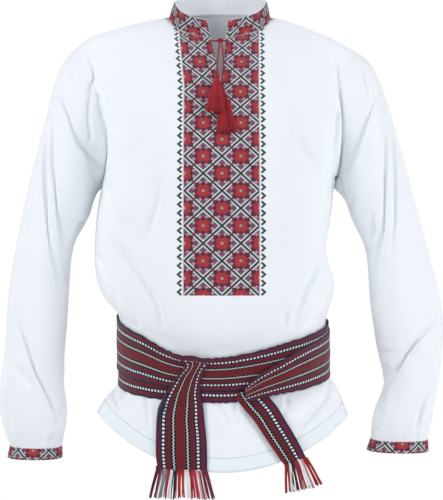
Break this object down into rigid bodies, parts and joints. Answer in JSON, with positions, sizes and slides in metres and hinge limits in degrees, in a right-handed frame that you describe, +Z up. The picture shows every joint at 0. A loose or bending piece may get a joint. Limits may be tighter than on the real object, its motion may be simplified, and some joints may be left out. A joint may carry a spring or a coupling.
{
  "type": "embroidered folk shirt with woven sash",
  "caption": "White linen folk shirt with a low band collar tied at the neck, a cross-stitched front panel, full sleeves on narrow cuffs and a striped fringed sash wound at the waist.",
  "frame": {"origin": "worn_at_shoulders: the middle of the neck's base, level with the shoulder line, where the wearer's neck comes out of the collar", "axes": "+Z up along the wearer's neck, +X to the right-hand side seen from the front, and the front faces -Y"},
  "size_m": [0.7268, 0.2773, 0.8147],
  "materials": {
    "linen": "plain weave, matte",
    "embroidery": "cross-stitched cotton thread, matte with a slight sheen",
    "woven_sash": "striped woven wool, matte",
    "tie_thread": "twisted thread, soft sheen"
  },
  "bodies": {
    "root": {"front": "linen", "back": "linen", "sleeve_left": "linen", "sleeve_right": "linen", "cuff_left": "embroidery", "cuff_right": "embroidery", "collar": "embroidery", "front_embroidery": "embroidery", "neck_cord_left": "tie_thread", "neck_cord_right": "tie_thread", "neck_knot": "tie_thread", "neck_tassel_left": "tie_thread", "neck_tassel_right": "tie_thread", "belt_under_turn": "woven_sash", "belt_main_turn": "woven_sash", "belt_fan_turn": "woven_sash", "belt_end_left": "woven_sash", "belt_end_right": "woven_sash", "belt_fringe_left": "woven_sash", "belt_fringe_right": "woven_sash"}
  },
  "joints": []
}
